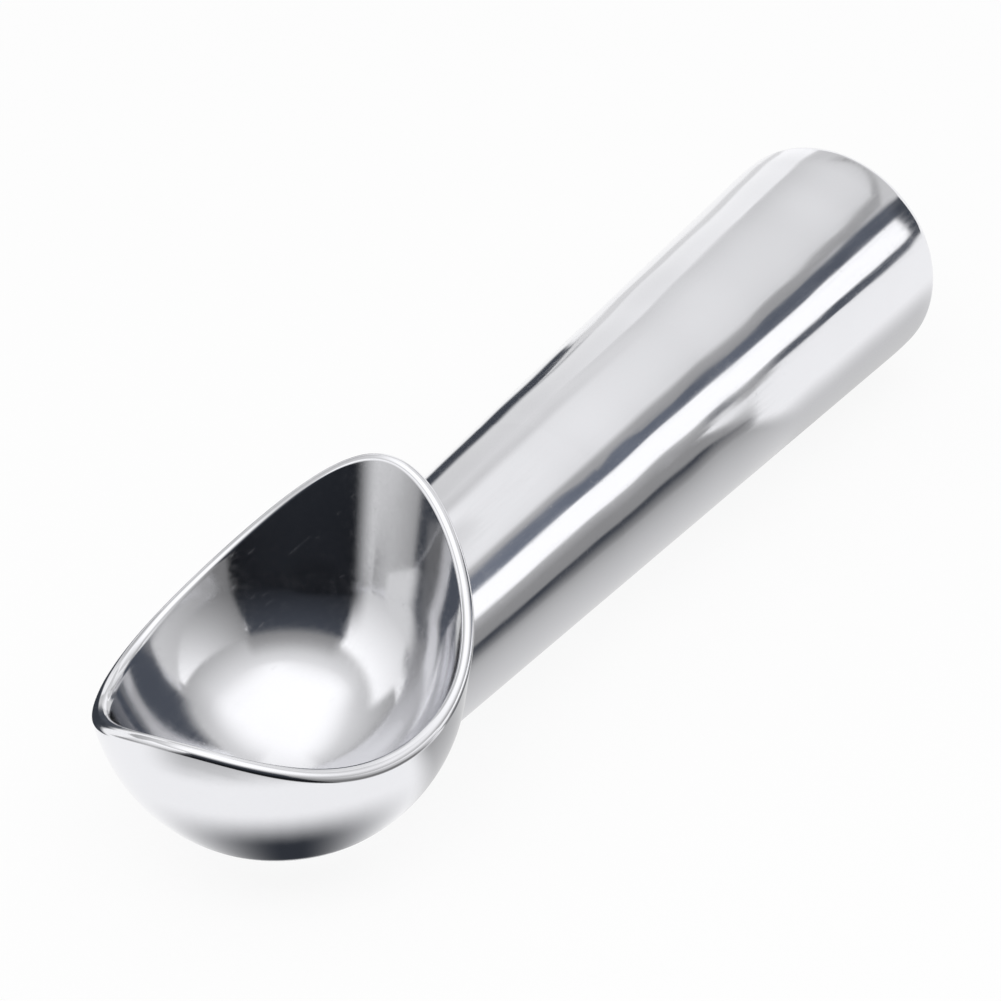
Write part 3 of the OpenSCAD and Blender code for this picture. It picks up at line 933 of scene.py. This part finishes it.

# Cards round the bowl, which its inside, its rim and its outside reflect: a dark side towards the camera, a
# pale panel on either hand, greys above them that fade to a white ceiling, the floor under them, and a
# painted shadow on the floor where the bowl rests
for name, grid, look in (
    (
        "front_dark",
        ring_card((161.2, 243.5), (-4, 31.5), 480, lean=-7.5),
        dict(level=0.010, soft=(0.06, 0.04, 0, 0.15), high=8.0, colour=COOL),
    ),
    (
        "front_fade",
        ring_card((169, 151), (-6, 28), 490),
        dict(level=0.020, soft=(0, 0.8, 0, 0.9), colour=COOL),
    ),
    (
        "front_left",
        ring_card((165, 103), (-6, 36.5), 505, far_top=45),
        dict(level=0.60, soft=(0, 0.12, 0, 0.15), far=0.95, high=2.1),
    ),
    (
        "front_right",
        ring_card((237, 301), (-4, 31.5), 505),
        dict(level=0.135, soft=(0, 0, 0, 0.06), far=3.6, high=2.5),
    ),
    ("grey_top", ring_card((160, 242), (26, 45), 530), dict(level=0.28, soft=(0.15, 0.1, 0, 0.8))),
    (
        "sky_front",
        ring_card((115, 315), (25, 62), 540),
        dict(level=0.33, soft=(0.15, 0.15, 0, 0.1), high=3.4),
    ),
    (
        "sky_left",
        ring_card((48, 150), (25, 74), 550),
        dict(level=0.36, soft=(0.1, 0, 0, 0.1), high=2.8),
    ),
    (
        "sky_right",
        ring_card((280, 378), (25, 74), 555),
        dict(level=0.34, soft=(0, 0.1, 0, 0.1), high=2.9),
    ),
    (
        "front_floor",
        floor_card((135, 244), (45, 482), 0.6),
        dict(level=0.010, soft=(0.3, 0.025, 0.07, 0), colour=COOL),
    ),
    ("floor_left", floor_card((100, 150), (70, 500)), dict(level=0.20, soft=(0.2, 0, 0.1, 0), far=3.0)),
    ("floor_right", floor_card((238, 305), (45, 500)), dict(level=0.20, soft=(0, 0.3, 0.07, 0))),
    (
        "ceiling",
        flat_card((-680, -555, 640), (360, -555, 640), (360, 485, 640), (-680, 485, 640)),
        dict(level=1.17, soft=(0.3, 0.3, 0.3, 0.3)),
    ),
    (
        "left_shade",
        flat_card((-86, 50, 0.5), (-50, 50, 0.5), (-46, 50, 39), (-74, 50, 39)),
        dict(level=0.05, soft=(0.2, 0.15, 0, 0.25), colour=COOL),
    ),
    # Painted shadow: a dark card round the spot where the bowl rests on the floor, which only reflections
    # see
    (
        "painted_contact_shadow",
        floor_card((122, 298), (9.5, 32), 0.9),
        dict(level=0.04, soft=(0.5, 0.45, 0.1, 0.6), colour=COOL),
    ),
):
    emission_card(name, grid, **look)

# Painted reflections: cards close inside the bowl, which the opposite wall sees in place of the wall behind
# them; the dark ones are painted shade, the grey and light ones painted reflections, and the veil lays a
# painted grey over part of the wall's reflection
for name, grid, look in (
    # Painted shade along the inside of the lip
    (
        "lip_painted_shade",
        inside_card(((160, -7), (251, -7), (251, 1), (160, 0.8)), below_rim=True),
        dict(level=0.012, soft=(0, 0.03, 0, 0), colour=COOL),
    ),
    (
        "lip_grey",
        inside_card(((248, -7), (278, -7), (278, 0.4), (248, 1)), below_rim=True, off=CARD_UNDER),
        dict(level=0.16, soft=(0, 0.4, 0, 0), far=1.5),
    ),
    (
        "lip_left_painted_shade",
        inside_card(((118, -7), (160, -7), (160, 1), (118, 1)), below_rim=True),
        dict(level=0.012, soft=(0.6, 0, 0, 0), colour=COOL),
    ),
    # Painted shade on the back and the low part of the wall
    (
        "back_painted_shade",
        inside_card(((-18, 1.5), (22, 1.5), (10, 20.5), (-29, 20.5))),
        dict(level=0.09, soft=(0.12, 0.2, 0, 0.5), colour=COOL),
    ),
    (
        "low_painted_shade",
        inside_card(((2, -3.5), (28, -6), (22, 1.5), (-18, 1.5))),
        dict(level=0.09, soft=(0.15, 0.2, 0.08, 0), colour=COOL),
    ),
    # Painted reflections: grey and light patches of the wall, and a painted grey veil
    (
        "back_grey",
        inside_card(((-28, 8), (16, 8), (16, -0.3), (-28, -0.3)), below_rim=True, off=CARD_UNDER),
        dict(level=0.50, soft=(0.1, 0.15, 0.3, 0)),
    ),
    (
        "back_light",
        inside_card(((-95, -6), (-13, -1.5), (-28, -0.3), (-95, -0.3)), below_rim=True, off=CARD_UNDER),
        dict(level=0.28, soft=(0.1, 0.06, 0.15, 0), far=2.5),
    ),
    (
        "side_veil",
        inside_card(((16, -9), (62, -6), (66, 8), (20, 10))),
        dict(level=0.33, soft=(0.1, 0.2, 0.1, 0.1), cover=0.35),
    ),
    (
        "side_light",
        inside_card(((60, -6), (106, -6), (106, -1.5), (60, 1))),
        dict(level=0.70, soft=(0.35, 0.1, 0.1, 0.05)),
    ),
):
    emission_card(name, grid, sided=True, **look)

# Camera, from the fit to the photograph: axes of the picture in the handle's frame, and the bowl's place in
# front of the camera in bowl radii
FOCAL_PX, IMAGE_PX, SENSOR = 5727.6, 1001, 36.0
CLIP_START, CLIP_END = 0.01, 50
RIGHT = np.array([0.515, -0.8536, -0.0788])
UP = np.array([0.4568, 0.1955, 0.8678])
BACK = np.array([-0.7254, -0.4829, 0.4906])
BOWL_SEEN = np.array([-1.1704, -0.8880, -29.9728]) * BOWL_R
seat = -(RIGHT * BOWL_SEEN[0] + UP * BOWL_SEEN[1] + BACK * BOWL_SEEN[2])
camera = linked("camera", bpy.data.cameras.new("camera"))
camera.data.sensor_width = SENSOR
camera.data.lens = FOCAL_PX * SENSOR / IMAGE_PX
camera.data.clip_start, camera.data.clip_end = CLIP_START, CLIP_END
axes = REST @ np.stack([unit(RIGHT), unit(UP), unit(BACK)], 1)
matrix = Matrix(axes.tolist()).to_4x4()
matrix.translation = Vector(bowl_centre + REST @ seat * MM)
camera.matrix_world = matrix
bpy.context.scene.camera = camera

bpy.context.scene.view_settings.view_transform = "Standard"
